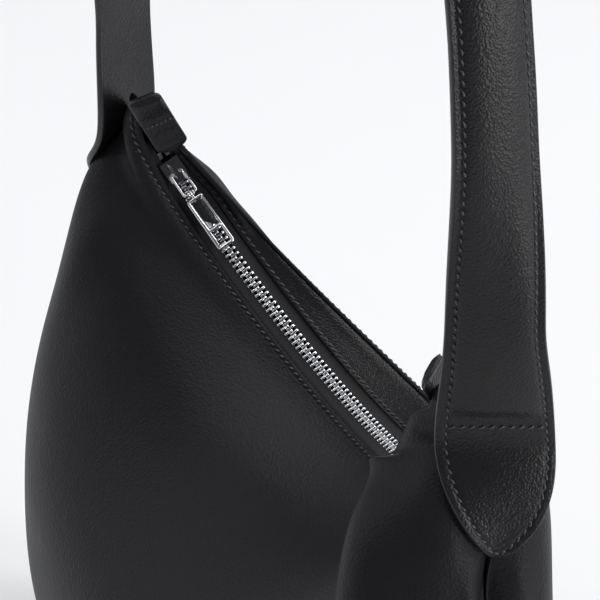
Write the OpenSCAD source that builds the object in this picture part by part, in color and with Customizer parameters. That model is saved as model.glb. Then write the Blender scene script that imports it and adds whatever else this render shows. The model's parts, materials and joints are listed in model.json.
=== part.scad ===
// Hobo bag: a leather body that hangs below a curved zip, with one padded shoulder strap.
// Millimetres. +Z up, +X along the bag, -Y is the front. The origin is the centre of the base.

/* [Body] */
// Half length of the bag at its widest
body_half_l = 189; // [185:1:195]
// Height of the widest line above the base
belly_z = 112; // [108:1:118]
// Distance from the base centre line to the front of the belly
belly_front = 73; // [70:1:76]
// Distance from the base centre line to the back of the belly
belly_back = 64; // [60:1:67]
// Half length of the flat base
base_half_l = 150; // [146:1:154]
// Half depth of the flat base
base_half_d = 46; // [44:1:49]
// Thickness of the shell leather
leather_t = 1.4; // [1.2:0.1:1.6]
// Thickness of the lining cloth
lining_t = 0.6; // [0.5:0.1:0.7]

/* [Zip] */
// Radius of the curve that the zip follows
zip_r = 132; // [130:1:134]
// Half angle of the mouth, from the valley to a peak
mouth_a = 83; // [82:1:84]
// Lean of the mouth away from upright
mouth_tilt = 26; // [24:1:28]
// Height of the centre of the zip's curve
zip_cz = 306; // [304:1:308]
// Spacing of the teeth along one tape
tooth_pitch = 2.7; // [2.6:0.1:3]
// Angle at which the slider rests, at the closed end
slider_a = -69; // [-70:1:-68]
// Angle at which the slider stops, at the open end
open_a = 55; // [50:1:57]
// Width of the slider
slider_w = 9; // [8.6:0.1:9.4]

/* [Puller] */
// Length of the puller frame
pull_l = 25; // [24:1:27]
// Width of the puller frame
pull_w = 8; // [7.6:0.1:8.4]
// Thickness of the puller frame
pull_t = 1.8; // [1.6:0.1:2]
// Diameter of the link wire
wire_d = 1.2; // [1.1:0.1:1.3]
// Upward lean of the link and puller as they lie on the chain
pull_lean = 12; // [11:1:13]

/* [Strap] */
// Width of the strap at its ends
strap_w = 35; // [34:1:37]
// Width of the strap at the shoulder
strap_mid_w = 30; // [28:1:33]
// Height of the top of the strap
strap_top_z = 590; // [570:5:610]
// Height of the padding above the flat border
pad_h = 3.5; // [3:0.1:4]

/* [Hidden] */
leather_c = "#25252a";
inner_c = "#1b1b1d";
metal_c = "silver";
gap = 0.3;
base_t = 1.6;
board_t = 2;
zip_cy = -14;
// rest of the mouth: cloth and leather edges, measured across the zip
tape_in = 2.5;
tape_out = 8.1;
tape_t = 0.6;
edge_front = 6.5;
facing_in = 8;
facing_least = 2;
facing_t = 1.2;
rim_drop_front = 10;
rim_drop_back = 6;
shoulder = 16;
closed_end = 4;
// the teeth run on past the slider's open end
teeth_end_a = open_a + 10;
tape_end_a = 73.3;
// the tape's outer corners are cut off at its ends
tape_corner_a = 68;
tape_corner = 6;
front_facing_a = 62;
seam_gap = 0.002;
panel_n = 40;
panel_m = 24;
// strap path
root_z = 284;
free_z = 309;
root_lean = 5;
strap_y = 1;
strap_half_l = 159;
strap_arch = 0.77;
strap_turn = 29;
border_t = 1.5;

// ---- mouth curve ---------------------------------------------------------

function mouth_dir() = [0, sin(mouth_tilt), -cos(mouth_tilt)];
function mouth_axis() = [0, cos(mouth_tilt), sin(mouth_tilt)];
// a point at angle t, moved across the zip and toward the curve's centre
function on_mouth(t, across, up) =
    [0, zip_cy, zip_cz]
    + (zip_r - up) * (sin(t) * [1, 0, 0] + cos(t) * mouth_dir())
    + across * mouth_axis();
function back_edge(t) = 5 + 20 * pow(abs(cos(t)), 1.4);
function ease(x) = let (f = min(max(x, 0), 1)) f * f * (3 - 2 * f);
// height of the back edge, which stands up beside each peak
function back_rise(t) = 3 + 5 * ease((abs(t) - 45) / 20) * (1 - ease((abs(t) - 70) / 12));
// how far the mouth is open at a (-1 to 1 from peak to peak): 1 along its length, 0 at the peaks
function opening(a) = sqrt(max(0, 1 - pow(abs(a), 14)));

// ---- shell of the body ---------------------------------------------------

// one level of the shell: half length, seam y, middle y, end height, middle height, roundness, lobe
function level(k, side) =
    let (b = side > 0)
    k == 2 ? [158, 0, b ? 64 : -12, 268, b ? 180 : 172, b ? 0.95 : 0.75, b ? 0 : -18] :
    k == 3 ? [174, -4, b ? 66 : -47, 205, b ? 150 : 142, b ? 0.95 : 0.62, b ? 0 : -10] :
    k == 4 ? [body_half_l, -5, b ? belly_back : -belly_front, belly_z + 13, belly_z - 12,
              b ? 0.8 : 0.55, 0] :
    k == 5 ? [body_half_l - 3, -4, b ? belly_back - 4 : -belly_front, 50, 48, b ? 0.65 : 0.55, 0] :
    k == 6 ? [base_half_l + 10, 0, (b ? 1 : -1) * (base_half_d + 6), 5, 5, 0.5, 0] :
    [base_half_l, 0, (b ? 1 : -1) * base_half_d, 0, 0, 0.5, 0];
LEVELS = 7;

// angle around the plan for u from -1 (left seam) to 1 (right seam)
function plan_a(u) = 90 * sign(u) * (1 - pow(1 - abs(u), 1.8));
edge_up = tape_t / 2 + 0.2 + leather_t;
function rim(u, side, drop) =
    let (a = plan_a(u) / 90, t = mouth_a * a, g = opening(a),
         out = drop > 0 ? shoulder * pow(abs(a), 10) : 0)
    side < 0
    ? on_mouth(t, closed_end - (closed_end + edge_front + drop + 1.5 * pow(cos(t), 2)) * g, edge_up - out)
    : on_mouth(t, closed_end + (back_edge(t) - closed_end) * g,
               edge_up + (back_rise(t) - edge_up - drop) * g - out);
function ring(k, u, side) =
    k == 0 ? rim(u, side, 0) :
    k == 1 ? rim(u, side, side < 0 ? rim_drop_front : rim_drop_back) :
    let (q = level(k, side), a = plan_a(u), c = max(cos(a), 0), e = pow(abs(sin(a)), 2.2))
    [q[0] * sin(a), q[1] + (q[2] - q[1]) * pow(c, q[5]) + q[6] * 4 * c * (1 - c), q[4] + (q[3] - q[4]) * e];
function blend4(a, b, c, d, f) =
    0.5 * (2 * b + (c - a) * f + (2 * a - 5 * b + 4 * c - d) * f * f
           + (3 * b - a - 3 * c + d) * f * f * f);
// the outer surface, v from 0 (mouth) to 1 (base)
function shell(u, v, side) =
    let (x = v * LEVELS, i = min(floor(x), LEVELS - 1),
         p1 = ring(i, u, side), p2 = ring(i + 1, u, side),
         p0 = i > 0 ? ring(i - 1, u, side) : 2 * p1 - p2,
         p3 = i < LEVELS - 1 ? ring(i + 2, u, side) : 2 * p2 - p1)
    blend4(p0, p1, p2, p3, x - i);
function unit(a) = a / max(norm(a), 1e-9);
// the surface moved in by a depth (out when the depth is negative)
function shell_in(u, v, side, depth) =
    let (h = 0.01, u0 = max(u - h, -1), u1 = min(u + h, 1), v0 = max(v - h, 0), v1 = min(v + h, 1),
         n = unit(cross(shell(u1, v, side) - shell(u0, v, side), shell(u, v1, side) - shell(u, v0, side))))
    shell(u, v, side) - side * depth * n;

// a closed solid between two grids of points
module slab(top, low) {
    rows = len(top);
    cols = len(top[0]);
    total = rows * cols;
    pts = concat([for (r = top) for (p = r) p], [for (r = low) for (p = r) p]);
    faces = concat(
        [for (i = [0:rows - 2]) for (j = [0:cols - 2])
            each [[i * cols + j, i * cols + j + 1, (i + 1) * cols + j + 1],
                  [i * cols + j, (i + 1) * cols + j + 1, (i + 1) * cols + j]]],
        [for (i = [0:rows - 2]) for (j = [0:cols - 2])
            each [[total + i * cols + j, total + (i + 1) * cols + j + 1, total + i * cols + j + 1],
                  [total + i * cols + j, total + (i + 1) * cols + j, total + (i + 1) * cols + j + 1]]],
        [for (i = [0:rows - 2]) for (j = [0, cols - 1])
            let (a = i * cols + j, b = a + cols)
            each j == 0 ? [[a, b, total + b], [a, total + b, total + a]]
                        : [[a, total + b, b], [a, total + a, total + b]]],
        [for (j = [0:cols - 2]) for (i = [0, rows - 1])
            let (a = i * cols + j, b = a + 1)
            each i == 0 ? [[a, total + b, b], [a, total + a, total + b]]
                        : [[a, b, total + b], [a, total + b, total + a]]]);
    polyhedron(pts, faces);
}
// the leather is thinned where two panels meet in a seam
skive_u = 0.99;
skive = 0.15;
// a sheet that follows the shell between two depths
module shell_sheet(side, u_lim, v_lim, outer, inner, nu, nv) {
    us = [for (i = [0:nu]) u_lim[0] + (u_lim[1] - u_lim[0]) * i / nu];
    vs = [for (j = [0:nv]) v_lim[0] + (v_lim[1] - v_lim[0]) * j / nv];
    top = [for (u = us) [for (v = vs) shell_in(u, v, side, outer)]];
    low = [for (u = us) [for (v = vs)
        shell_in(u, v, side, outer + (inner - outer) * (abs(u) > skive_u ? skive : 1))]];
    if (side < 0) slab(top, low);
    else slab(low, top);
}

module front_panel() {
    full = 1 - seam_gap;
    color(leather_c) shell_sheet(-1, [-full, full], [0, 1], 0, leather_t, panel_n, panel_m);
}
module back_panel() {
    full = 1 - seam_gap;
    color(leather_c) shell_sheet(1, [-full, full], [0, 1], 0, leather_t, panel_n, panel_m);
}
module base_outline(inset) {
    half = [for (i = [-24:24]) let (p = ring(LEVELS, i / 24, -1)) [p[0], p[1]]];
    back = [for (i = [-23:23]) let (p = ring(LEVELS, -i / 24, 1)) [p[0], p[1]]];
    offset(delta = -inset) polygon(concat(half, back));
}
module base_panel() {
    color(leather_c) linear_extrude(base_t) base_outline(2);
}
module base_board() {
    color(inner_c) translate([0, 0, base_t + gap]) linear_extrude(board_t) base_outline(6);
}
lining_in = 3.4;
pocket_in = 4.8;
module front_lining() {
    color(inner_c) shell_sheet(-1, [-0.985, 0.985], [0.17, 0.9], lining_in, lining_in + lining_t, 24, 12);
}
module back_lining() {
    color(inner_c) shell_sheet(1, [-0.985, 0.985], [0.2, 0.9], lining_in, lining_in + lining_t, 24, 12);
}
module slip_pocket() {
    color(inner_c) shell_sheet(1, [-0.35, 0.35], [0.3, 0.6], pocket_in, pocket_in + lining_t, 8, 6);
}
// a band on the mouth's curve; the two edges are functions of the angle
module mouth_band(a0, a1, inner, outer, low, high, n) {
    ts = [for (i = [0:n]) a0 + (a1 - a0) * i / n];
    top = [for (t = ts) [on_mouth(t, inner(t), high), on_mouth(t, outer(t), high)]];
    bottom = [for (t = ts) [on_mouth(t, inner(t), low), on_mouth(t, outer(t), low)]];
    slab(bottom, top);
}
function facing_out(t) = back_edge(t) - leather_t - 1;
module back_facing() {
    low = tape_t / 2 + 0.1;
    lim = tape_end_a - 1.5;
    color(leather_c)
        mouth_band(-lim, lim, function (t) min(facing_in, facing_out(t) - facing_least),
                   function (t) facing_out(t),
                   low, low + facing_t, 44);
}

// ---- zip -------------------------------------------------------------------

// frame of the mouth: X along the bag, Y to the valley, Z across the zip
module mouth_frame() {
    translate([0, zip_cy, zip_cz]) rotate([mouth_tilt - 90, 0, 0]) children();
}
// a spot on the chain: X along it, Y into the bag, Z across to the back
module on_chain(t) {
    rotate([0, 0, -t]) translate([0, zip_r, 0]) children();
}
module band(a_lim, r0, r1, z0, z1) {
    mouth_frame() rotate([0, 0, 90 - a_lim]) rotate_extrude(angle = 2 * a_lim, $fn = 180)
        translate([r0, z0]) square([r1 - r0, z1 - z0]);
}
module front_facing() {
    color(leather_c) band(front_facing_a, zip_r + tape_t / 2 + 0.2, zip_r + tape_t / 2 + 1, -14, -5);
}
module tape_corners(side) {
    reach = 20;
    deep = 4;
    mouth_frame() for (s = [-1, 1]) on_chain(s * tape_corner_a)
        translate([s > 0 ? 0 : -reach, -deep / 2, side > 0 ? tape_corner : -tape_corner - deep])
            cube([reach, deep, deep]);
}
module zip_tape_front() {
    color("#17171a") difference() {
        band(tape_end_a, zip_r - tape_t / 2, zip_r + tape_t / 2, -tape_out, -tape_in);
        tape_corners(-1);
    }
}
module zip_tape_back() {
    color("#17171a") difference() {
        band(tape_end_a, zip_r - tape_t / 2, zip_r + tape_t / 2, tape_in, tape_out);
        tape_corners(1);
    }
}
tooth_step = tooth_pitch / zip_r * 180 / PI;
tooth_first = slider_a - 0.8;
tooth_count = floor((teeth_end_a - tooth_first) / tooth_step);
tooth_h = 2.2;
module tooth_row(side, shift) {
    mouth_frame() for (i = [0:tooth_count - 1])
        on_chain(tooth_first + (i + shift) * tooth_step)
            translate([-0.5, -tooth_h / 2, side > 0 ? -1.1 : -tape_in + 0.02])
                cube([1, tooth_h, tape_in + 1.1 - 0.02]);
}
module zip_teeth_front() {
    color(metal_c) tooth_row(-1, 0);
}
module zip_teeth_back() {
    color(metal_c) tooth_row(1, 0.5);
}
module zip_top_stops() {
    color(metal_c) mouth_frame() on_chain(slider_a - 3.6)
        for (s = [-1, 1])
            translate([-1.5, -1.2, s > 0 ? 0.8 : -2.4]) cube([3, 2.4, 1.6]);
}
module zip_bottom_stop() {
    color(metal_c) mouth_frame() on_chain(teeth_end_a + 1.5)
        translate([-1.5, -1.2, -2.4]) cube([3, 2.4, 4.8]);
}

// slider: two plates joined by the post that parts the teeth, with edge flanges
slider_l = 11;
plate_t = 1.1;
plate_y = 1.6;
flange_w = 0.9;
flange_gap = 0.7;
post_l = 1.8;
post_w = 2;
slider_front = -5;
module slider_at(a) {
    mouth_frame() on_chain(a) children();
}
module plate_shape() {
    hw = slider_w / 2;
    difference() {
        translate([slider_front, -hw]) square([slider_l, 2 * hw]);
        for (s = [-1, 1])
            translate([slider_front + slider_l, s * hw]) rotate(45) square(3, center = true);
    }
}
module slider_body() {
    hw = slider_w / 2;
    color(metal_c) slider_at(slider_a) {
        for (y = [-plate_y - plate_t, plate_y])
            translate([0, y, 0]) rotate([-90, 0, 0]) linear_extrude(plate_t) plate_shape();
        for (s = [-1, 1]) for (y = [-plate_y - 0.01, flange_gap])
            translate([slider_front, y, s > 0 ? hw - flange_w : -hw])
                cube([slider_l - 3, plate_y - flange_gap + 0.01, flange_w]);
        translate([slider_front, -plate_y - 0.01, -post_w / 2])
            cube([post_l, 2 * plate_y + 0.02, post_w]);
    }
}
bridge_half = 3.4;
bridge_h = 3;
bridge_w = 2;
bridge_bar = 1.1;
module slider_bridge() {
    low = plate_y + plate_t + 0.02;
    color(metal_c) slider_at(slider_a) translate([0, -low, 0]) difference() {
        translate([-bridge_half, -bridge_h, -bridge_w / 2]) cube([2 * bridge_half, bridge_h, bridge_w]);
        translate([-bridge_half + bridge_bar, -bridge_h + bridge_bar, -bridge_w])
            cube([2 * (bridge_half - bridge_bar), bridge_h, 2 * bridge_w]);
    }
}
// link and puller: the pin under the bridge, then the pin that the puller hooks on
pin_gap = 0.3;
pin_y = -(plate_y + plate_t + pin_gap + wire_d / 2);
pin_x = bridge_half - bridge_bar - wire_d / 2 - 0.2;
link_l = 10.5;
link_w = 7.2;
module puller_space() {
    slider_at(slider_a) translate([pin_x, pin_y, 0]) rotate([0, 0, -pull_lean]) children();
}
side_half = wire_d / 2 + 0.02;
module puller_link() {
    hw = (link_w - wire_d) / 2;
    color(metal_c) puller_space() {
        for (x = [0, link_l]) translate([x, 0, -hw]) cylinder(h = 2 * hw, d = wire_d, $fn = 24);
        for (s = [-1, 1]) translate([-side_half, -side_half, s * hw - wire_d / 2])
            cube([link_l + 2 * side_half, 2 * side_half, wire_d]);
    }
}
hook_r = 1.5;
hook_len = 3.6;
rail = 1.5;
pull_start = 2.3;
window_l = 7;
module puller_frame() {
    hw = pull_w / 2;
    color(metal_c) puller_space() translate([link_l, 0, 0]) {
        difference() {
            union() {
                translate([0, 0, -hook_len / 2]) cylinder(h = hook_len, r = hook_r, $fn = 32);
                translate([1, -pull_t / 2, -hook_len / 2]) cube([pull_start, pull_t, hook_len]);
            }
            translate([0, 0, -hook_len]) cylinder(h = 2 * hook_len, d = wire_d + 0.1, $fn = 32);
        }
        difference() {
            translate([pull_start, -pull_t / 2, -hw]) cube([pull_l, pull_t, pull_w]);
            translate([pull_start + rail, -pull_t, -hw + rail])
                cube([pull_l - 3 * rail - window_l, 2 * pull_t, pull_w - 2 * rail]);
            translate([pull_start + pull_l - rail - window_l, -pull_t, -hw + rail])
                cube([window_l, 2 * pull_t, pull_w - 2 * rail]);
        }
    }
}
module puller_leather() {
    hw = pull_w / 2 - rail - 0.1;
    color(leather_c) puller_space() translate([link_l + pull_start + rail + 0.1, -pull_t / 2 - 0.2, -hw])
        cube([pull_l - 3 * rail - window_l - 0.2, pull_t + 0.4, 2 * hw]);
}
// leather tab that covers each end of the zip, from beside the slider to the peak
end_tab_a = 73.6;
end_tab_top = 82;
end_tab_front = -1;
end_tab_back = 11;
end_tab_lift = 6.9;
end_tab_t = 2.2;
module zip_end_tab(side) {
    low = edge_up + 0.2;
    a0 = side > 0 ? end_tab_a : -end_tab_top;
    ts = [for (i = [0:8]) a0 + (end_tab_top - end_tab_a) * i / 8];
    bottom = [for (t = ts) [on_mouth(t, end_tab_front, low), on_mouth(t, end_tab_back, low + end_tab_lift)]];
    high = low + end_tab_t;
    top = [for (t = ts) [on_mouth(t, end_tab_front, high), on_mouth(t, end_tab_back, high + end_tab_lift)]];
    slab(bottom, top);
}
module zip_end_tab_left() {
    color(leather_c) zip_end_tab(-1);
}
module zip_end_tab_right() {
    color(leather_c) zip_end_tab(1);
}

// ---- strap -----------------------------------------------------------------

// middle of the strap at height fraction f, from the top of the root to the shoulder
function strap_z(f) = root_z + (strap_top_z - root_z) * pow(sin(90 * f), strap_arch);
// the root leans in to meet the end wall
function strap_x(f) =
    strap_half_l * pow(cos(90 * f), strap_arch)
    - root_lean * pow(1 - min((strap_z(f) - root_z) / (free_z - root_z), 1), 2);
function free_f() = asin(pow((free_z - root_z) / (strap_top_z - root_z), 1 / strap_arch)) / 90;
// g runs from -1 (left root) through 0 (shoulder) to 1 (right root)
function strap_mid(g) = [sign(g) * strap_x(1 - abs(g)), strap_y, strap_z(1 - abs(g))];
turn_low = 320;
turn_high = 400;
function strap_twist(g) =
    sign(g) * strap_turn * (1 - ease((strap_z(1 - abs(g)) - turn_low) / (turn_high - turn_low)));
function strap_across(g) = [sin(strap_twist(g)), cos(strap_twist(g)), 0];
taper_l = 150;
function strap_half(g) =
    (strap_mid_w + (strap_w - strap_mid_w) * max(0, 1 - (strap_z(1 - abs(g)) - root_z) / taper_l)) / 2;
// a point on the strap: w from -1 to 1 across, h out from its middle layer
function on_strap(g, w, h) =
    let (e = 0.004, run = unit(strap_mid(min(g + e, 1)) - strap_mid(max(g - e, -1))),
         side = strap_across(g), out = unit(cross(run, side)))
    strap_mid(g) + w * strap_half(g) * side + h * out;
function crown(w) = pad_h * pow(max(0, 1 - pow(abs(w) / 0.86, 2.6)), 0.7);
module strap_layer(g0, g1, w_lim, low, high, n, m) {
    gs = [for (i = [0:n]) g0 + (g1 - g0) * i / n];
    ws = [for (k = [-m:m]) w_lim * k / m];
    a = [for (g = gs) [for (w = ws) on_strap(g, w, high(w))]];
    b = [for (g = gs) [for (w = ws) on_strap(g, w, low(w))]];
    slab(a, b);
}
free_g = 1 - free_f();
module strap_cover() {
    color(leather_c) strap_layer(-free_g, free_g, 1, function (w) 0.1 + crown(w),
        function (w) 0.1 + border_t + crown(w), 48, 6);
}
foam_low = 0.55;
module strap_foam() {
    color("#3a3a3e") strap_layer(-free_g, free_g, 0.8, function (w) foam_low,
        function (w) max(foam_low + 0.1, crown(w) - 0.6), 48, 4);
}
module strap_lining() {
    color(leather_c) strap_layer(-free_g, free_g, 1, function (w) -border_t, function (w) -0.1, 48, 1);
}
module strap_root(side) {
    g0 = free_g + 0.0006;
    strap_layer(side > 0 ? g0 : -1, side > 0 ? 1 : -g0, 1, function (w) -border_t,
        function (w) border_t + 0.4 * crown(w), 4, 6);
}
module strap_root_left() {
    color(leather_c) strap_root(-1);
}
module strap_root_right() {
    color(leather_c) strap_root(1);
}
// end tab: a pointed arch that lies on the end wall, centred on the side seam
tab_v0 = 0.222;
tab_v1 = 0.352;
function tab_half(f) = 19.5 * pow(max(0.0004, 1 - pow(f, 3.6)), 0.75);
// the tab's middle line, behind the side seam at the top and nearer to it at the tip
function tab_mid(f) = 5 - 4 * f;
tab_low = 0.4;
tab_high = 3.2;
// the u whose distance from the side seam is w, found by halving
function wall_u(v, w, s, side, low = 0.5, high = 1, steps = 14) =
    let (mid = (low + high) / 2, far = norm(shell(side * mid, v, s) - shell(side, v, s)) > w)
    steps == 0 ? mid : far ? wall_u(v, w, s, side, mid, high, steps - 1)
                           : wall_u(v, w, s, side, low, mid, steps - 1);
function on_wall(v, w, out, side) =
    let (s = w < 0 ? -1 : 1)
    shell_in(side * min(wall_u(v, abs(w), s, side), 0.995), v, s, -out);
function on_tab(f, w, out, side) =
    on_wall(tab_v0 + (tab_v1 - tab_v0) * f, w * tab_half(f) + tab_mid(f), out, side);
module strap_tab(side) {
    n = 10;
    m = 6;
    vs = [for (i = [0:n]) i / n];
    a = [for (f = vs) [for (k = [-m:m]) on_tab(f, k / m, tab_high, side)]];
    b = [for (f = vs) [for (k = [-m:m]) on_tab(f, k / m, tab_low, side)]];
    if (side > 0) slab(b, a);
    else slab(a, b);
}
module strap_tab_left() {
    color(leather_c) strap_tab(-1);
}
module strap_tab_right() {
    color(leather_c) strap_tab(1);
}

front_panel();
back_panel();
base_panel();
base_board();
front_lining();
back_lining();
slip_pocket();
back_facing();
front_facing();
zip_tape_front();
zip_tape_back();
zip_teeth_front();
zip_teeth_back();
zip_top_stops();
zip_bottom_stop();
slider_body();
slider_bridge();
puller_link();
puller_frame();
puller_leather();
zip_end_tab_left();
zip_end_tab_right();
strap_tab_left();
strap_tab_right();
strap_root_left();
strap_root_right();
strap_cover();
strap_foam();
strap_lining();
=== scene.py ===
# Hobo bag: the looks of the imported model. Metres, in the row frame.
import json
import math

import bmesh
import bpy
import numpy as np
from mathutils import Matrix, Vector


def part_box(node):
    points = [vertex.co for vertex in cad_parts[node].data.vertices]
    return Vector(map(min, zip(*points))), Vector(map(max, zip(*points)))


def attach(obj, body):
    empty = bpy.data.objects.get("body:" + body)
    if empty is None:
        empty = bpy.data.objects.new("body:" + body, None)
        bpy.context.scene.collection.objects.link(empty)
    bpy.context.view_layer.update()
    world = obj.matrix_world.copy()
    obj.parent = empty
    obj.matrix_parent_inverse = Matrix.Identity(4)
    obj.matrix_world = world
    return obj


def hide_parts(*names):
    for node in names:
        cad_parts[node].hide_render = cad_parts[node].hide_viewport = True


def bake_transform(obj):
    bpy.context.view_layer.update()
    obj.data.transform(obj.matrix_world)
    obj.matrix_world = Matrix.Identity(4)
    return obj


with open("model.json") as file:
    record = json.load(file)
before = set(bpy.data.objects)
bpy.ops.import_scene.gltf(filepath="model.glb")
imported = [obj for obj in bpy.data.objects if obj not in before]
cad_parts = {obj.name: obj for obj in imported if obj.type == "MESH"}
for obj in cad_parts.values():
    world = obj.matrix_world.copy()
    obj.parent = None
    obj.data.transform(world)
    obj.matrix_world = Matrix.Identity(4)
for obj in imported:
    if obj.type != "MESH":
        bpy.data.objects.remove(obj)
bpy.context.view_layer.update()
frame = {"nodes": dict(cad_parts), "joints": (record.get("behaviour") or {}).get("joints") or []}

MM = 0.001

# ---- places that come from the frame ----------------------------------------------------------
joints = {j["name"]: j for j in frame["joints"]}
ZIP_C = np.array(joints["zip_travel"]["pos_m"])  # centre of the zip's curve
ACROSS = -np.array(joints["zip_travel"]["axis"])  # across the zip, toward the back
VALLEY = np.array([0, ACROSS[2], -ACROSS[1]])  # from the centre to the lowest point of the zip
TAPE_END_A = 73.3  # degrees along the curve, where the zip tapes end
HALF_TAPE = 0.3 * MM
ZIP_R = float(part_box("zip_tape_front")[1][0]) / math.sin(math.radians(TAPE_END_A)) - HALF_TAPE
SWING_Y = joints["strap_swing"]["pos_m"][1]
ROOT_Z = float(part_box("strap_root_left")[0][2])
FREE_Z = float(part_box("strap_root_left")[1][2])
STRAP_TOP = float(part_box("strap_lining")[1][2])
SLIDER_A = -69.0  # degrees along the curve, at rest

# ---- the shell of the body, as in the design ----------------------------------------------------
MOUTH_A = 83.0
EDGE_FRONT = 6.5
FACING_IN = 8.0
SHELL_T = 1.4
STACK = 1.9  # height of the front edge above the zip tape's middle
CLOSED = 4.0  # where the two edges meet at a peak, measured across the zip


def unit(a):
    return a / np.maximum(np.linalg.norm(a, axis=-1, keepdims=True), 1e-12)


def on_mouth(t, across, up):
    """A point at angle t (degrees) on the mouth's curve, moved across the zip and up, in millimetres."""
    t, across, up = np.broadcast_arrays(np.radians(t), across, up)
    spoke = np.sin(t)[..., None] * np.array([1.0, 0, 0]) + np.cos(t)[..., None] * VALLEY
    return ZIP_C + (ZIP_R - up * MM)[..., None] * spoke + (across * MM)[..., None] * ACROSS


def spoke_up(t):
    """Direction up from the tape at angle t, toward the curve's centre."""
    t = np.radians(t)
    return -(np.sin(t)[..., None] * np.array([1.0, 0, 0]) + np.cos(t)[..., None] * VALLEY)


def smooth_step(x, a, b):
    f = np.clip((x - a) / (b - a), 0, 1)
    return f * f * (3 - 2 * f)


def back_edge(t):
    return 5 + 20 * np.abs(np.cos(np.radians(t))) ** 1.4


def back_rise(t):
    return 3 + 5 * smooth_step(np.abs(t), 45, 65) * (1 - smooth_step(np.abs(t), 70, 82))


def opening(a):
    """How far the mouth is open: 1 along its length, 0 at the peaks (a is -1 to 1 from peak to peak)."""
    return np.sqrt(np.maximum(0, 1 - np.abs(a) ** 14))


# half length, seam y, middle y, end height, middle height, roundness, lobe; from under the rim to the base
LEVELS = {
    -1: [
        (158, 0, -12, 268, 172, 0.75, -18),
        (174, -4, -47, 205, 142, 0.62, -10),
        (189, -5, -73, 125, 100, 0.55, 0),
        (186, -4, -73, 50, 48, 0.55, 0),
        (160, 0, -52, 5, 5, 0.5, 0),
        (150, 0, -46, 0, 0, 0.5, 0),
    ],
    1: [
        (158, 0, 64, 268, 180, 0.95, 0),
        (174, -4, 66, 205, 150, 0.95, 0),
        (189, -5, 64, 125, 100, 0.8, 0),
        (186, -4, 60, 50, 48, 0.65, 0),
        (160, 0, 52, 5, 5, 0.5, 0),
        (150, 0, 46, 0, 0, 0.5, 0),
    ],
}
SPANS = 7


def plan_a(u):
    return 90 * np.sign(u) * (1 - (1 - np.abs(u)) ** 1.8)


def rim(u, side, drop):
    a = plan_a(u) / 90
    t = MOUTH_A * a
    g = opening(a)
    c2 = np.cos(np.radians(t)) ** 2
    out = 16 * np.abs(a) ** 10 if drop else 0
    if side < 0:
        return on_mouth(t, CLOSED - (CLOSED + EDGE_FRONT + drop + 1.5 * c2) * g, STACK - out)
    return on_mouth(t, CLOSED + (back_edge(t) - CLOSED) * g, STACK + (back_rise(t) - STACK - drop) * g - out)


def ring(k, u, side):
    if k < 2:
        return rim(u, side, 0 if k == 0 else 10 if side < 0 else 6)
    half, y0, y1, z0, z1, p, lobe = LEVELS[side][k - 2]
    a = np.radians(plan_a(u))
    c = np.maximum(np.cos(a), 0)
    e = np.abs(np.sin(a)) ** 2.2
    y = y0 + (y1 - y0) * c**p + lobe * 4 * c * (1 - c)
    return np.stack([half * np.sin(a), y, z1 + (z0 - z1) * e], -1) * MM


def shell(u, v, side):
    """The outer surface of the body: u from seam to seam (-1 to 1), v from the mouth (0) to the base (1)."""
    u, v = np.broadcast_arrays(np.asarray(u, float), np.asarray(v, float))
    rings = np.stack([ring(k, u, side) for k in range(SPANS + 1)])
    x = v * SPANS
    i = np.minimum(np.floor(x).astype(int), SPANS - 1)
    f = (x - i)[..., None]

    def pick(j):
        return np.take_along_axis(rings, np.clip(j, 0, SPANS)[None, ..., None] + np.zeros((1, *u.shape, 3), int), 0)[0]

    b, c = pick(i), pick(i + 1)
    a = np.where((i == 0)[..., None], 2 * b - c, pick(i - 1))
    d = np.where((i == SPANS - 1)[..., None], 2 * c - b, pick(i + 2))
    return 0.5 * (2 * b + (c - a) * f + (2 * a - 5 * b + 4 * c - d) * f**2 + (3 * b - a - 3 * c + d) * f**3)


def shell_out(u, v, side):
    """Outward normal of the shell."""
    h = 0.01
    du = shell(np.minimum(u + h, 1), v, side) - shell(np.maximum(u - h, -1), v, side)
    dv = shell(u, np.minimum(v + h, 1), side) - shell(u, np.maximum(v - h, 0), side)
    return unit(np.cross(du, dv)) * side


def drape(u, v, side):
    """(point, outward normal) of the shell with the slack of the hanging leather."""
    u, v = np.broadcast_arrays(np.asarray(u, float), np.asarray(v, float))
    p, out = shell(u, v, side), shell_out(u, v, side)
    edge = np.linalg.norm(p - shell(u, np.zeros_like(v), side), axis=-1) / MM
    seam = np.linalg.norm(p - shell(np.where(u < 0, -1.0, 1.0), v, side), axis=-1) / MM
    z = p[..., 2] / MM
    if side > 0:
        full = 6.5 * np.exp(-(((seam - 24) / 18) ** 2)) * smooth_step(z, 130, 215) * smooth_step(edge, 3, 24) * (u > 0)
        return p + out * (full * MM)[..., None], out
    # the slack front droops forward beside the right peak and overhangs the end of the zip
    t = MOUTH_A * plan_a(u) / 90
    beside = smooth_step(t, 46, 66) * (1 - smooth_step(t, 79, 82.8))
    over = 9.0 * beside * smooth_step(edge, 1, 9) * (1 - smooth_step(edge, 16, 48))
    lobe = 15.0 * np.exp(-(((seam - 44) / 19) ** 2)) * smooth_step(z, 70, 190) * smooth_step(edge, 2, 26) * (u > 0)
    drawn = 4.0 * smooth_step(-u, 0.5, 0.8) * smooth_step(z, 150, 220) * smooth_step(edge, 4, 20)
    return p + spoke_up(t) * (over * MM)[..., None] + out * ((lobe - drawn) * MM)[..., None], out


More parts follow.
